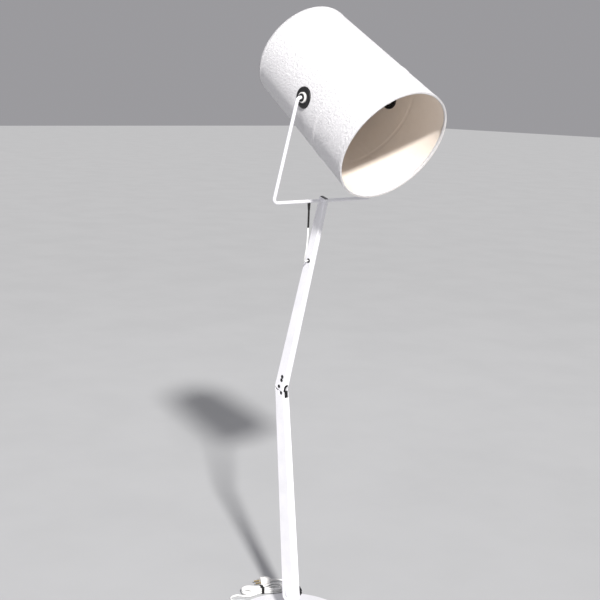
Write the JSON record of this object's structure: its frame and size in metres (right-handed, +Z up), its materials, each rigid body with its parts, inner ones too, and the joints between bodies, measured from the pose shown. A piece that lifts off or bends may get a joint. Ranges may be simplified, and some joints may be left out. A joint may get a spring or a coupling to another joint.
{
  "type": "adjustable arm floor lamp",
  "caption": "Floor lamp with a round base, two tapered arms with a knee, and a large canvas drum shade that tilts in a U-shaped fork.",
  "frame": {"origin": "centre of the underside of the base pad", "axes": "+Z up, +X the way the shade points, +Y along every hinge"},
  "size_m": [0.7844, 0.398, 1.9741],
  "materials": {
    "white_paint": "satin white powder coat",
    "black_steel": "satin black",
    "zinc_steel": "zinc plated",
    "brass": "plain",
    "black_rubber": "matt",
    "black_plastic": "fine texture",
    "white_plastic": "satin white",
    "white_cord": "white flexible sheath",
    "canvas": "plain woven white canvas, off-white inside",
    "shade_board": "laminated white canvas disc",
    "bulb_opal": "opal, as on a plastic LED bulb"
  },
  "bodies": {
    "base": {"base_pad": "black_rubber", "base_plate": "white_paint", "base_post": "white_paint", "base_bolt": "zinc_steel", "mains_gland": "white_plastic", "mains_cord_run": "white_cord", "mains_cord_hank": "white_cord", "mains_cord_tail": "white_cord", "hank_tie": "black_rubber", "plug_body": "white_plastic", "plug_pin_1": "brass", "plug_pin_2": "brass"},
    "lower_arm": {"lower_arm_tube": "white_paint", "foot_bolt": "white_paint", "foot_washer_near": "black_rubber", "foot_washer_far": "black_rubber", "knee_lower_leaf": "black_steel", "knee_liner_near": "white_paint", "knee_liner_far": "white_paint", "knee_rivet_lower": "black_steel", "lower_arm_lead": "white_cord"},
    "foot_knob": {"foot_knob": "black_plastic"},
    "upper_arm": {"upper_arm_tube": "white_paint", "knee_upper_leaf": "black_steel", "knee_pin": "black_steel", "knee_rivet_upper_1": "black_steel", "knee_rivet_upper_2": "black_steel", "upper_arm_lead": "white_cord", "head_clamp": "black_plastic", "head_screw": "black_steel", "lead_grommet": "black_rubber", "link_sleeve": "black_rubber", "link_lead": "white_cord"},
    "fork": {"fork_rod": "white_paint", "fork_boot": "black_rubber", "pivot_washer_near": "black_plastic", "pivot_washer_far": "black_plastic", "fork_nut_near": "zinc_steel", "fork_nut_far": "zinc_steel"},
    "shade": {"shade_skin": "canvas", "shade_hoop_mouth": "zinc_steel", "shade_hoop_back": "zinc_steel", "shade_back_panel": "shade_board", "eyelet_outer_near": "black_plastic", "eyelet_outer_far": "black_plastic", "eyelet_inner_near": "black_plastic", "eyelet_inner_far": "black_plastic", "pivot_bush_near": "white_plastic", "pivot_bush_far": "white_plastic", "bush_nut_near": "zinc_steel", "bush_nut_far": "zinc_steel", "cross_bracket": "zinc_steel", "lampholder": "white_plastic", "bulb_cap": "brass", "bulb_glass": "bulb_opal", "holder_lead": "white_cord", "holder_screw_1": "zinc_steel", "holder_screw_2": "zinc_steel"},
    "switch_push": {"switch_push": "black_plastic"}
  },
  "joints": [
    {"name": "base_tilt", "type": "hinge", "parent": "base", "child": "lower_arm", "pos_m": [0, 0, 0.1], "axis": [0, 1, 0], "range_deg": [-15, 35]},
    {"name": "knee_bend", "type": "hinge", "parent": "lower_arm", "child": "upper_arm", "pos_m": [-0.07314, 0, 0.78893], "axis": [0, 1, 0], "range_deg": [-20, 36]},
    {"name": "fork_tilt", "type": "hinge", "parent": "upper_arm", "child": "fork", "pos_m": [0.10446, 0, 1.40504], "axis": [0, 1, 0], "range_deg": [-60, 75]},
    {"name": "shade_tilt", "type": "hinge", "parent": "fork", "child": "shade", "pos_m": [0.19945, 0, 1.71041], "axis": [0, 1, 0], "range_deg": [-90, 57]},
    {"name": "knob_turn", "type": "hinge", "parent": "lower_arm", "child": "foot_knob", "pos_m": [0, 0.0245, 0.1], "axis": [0, 1, 0], "range_deg": [-180, 180]},
    {"name": "switch_travel", "type": "slide", "parent": "shade", "child": "switch_push", "axis": [0.5446, 0, 0.8387], "range_m": [0, 0.008]}
  ]
}
